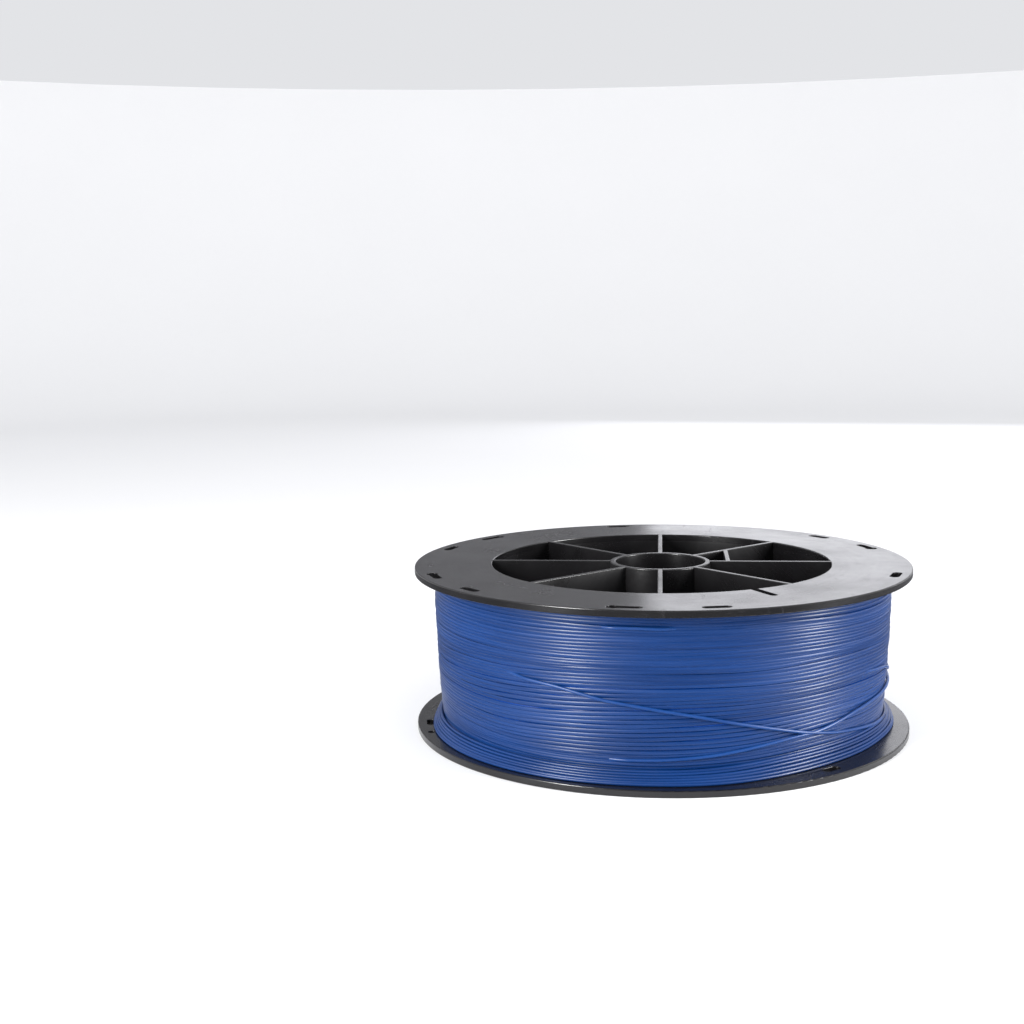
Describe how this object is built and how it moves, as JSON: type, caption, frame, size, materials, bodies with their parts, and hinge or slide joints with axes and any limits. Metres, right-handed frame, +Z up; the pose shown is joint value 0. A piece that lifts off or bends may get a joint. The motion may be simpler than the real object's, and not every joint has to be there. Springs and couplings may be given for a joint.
{
  "type": "filament spool",
  "caption": "Large black plastic reel with slotted flanges, an open webbed hub and a round bore, wound full of blue 3D printing filament.",
  "frame": {"origin": "on the reel's axis, at the underside of the lower flange, which the spool stands on", "axes": "+Z up along the reel's axis; +X along the web beside the small drive pocket"},
  "size_m": [0.28, 0.28, 0.0935],
  "materials": {
    "reel_plastic": "black moulded polystyrene, satin on the flange faces, with light scuffs from handling",
    "filament": "blue extruded ABS filament, smooth and glossy"
  },
  "bodies": {
    "root": {"upper_flange": "reel_plastic", "upper_barrel": "reel_plastic", "upper_hub": "reel_plastic", "upper_webs": "reel_plastic", "upper_pocket_wall": "reel_plastic", "lower_flange": "reel_plastic", "lower_barrel": "reel_plastic", "lower_hub": "reel_plastic", "lower_webs": "reel_plastic", "filament_winding": "filament", "filament_bottom_turns": "filament"}
  },
  "joints": []
}
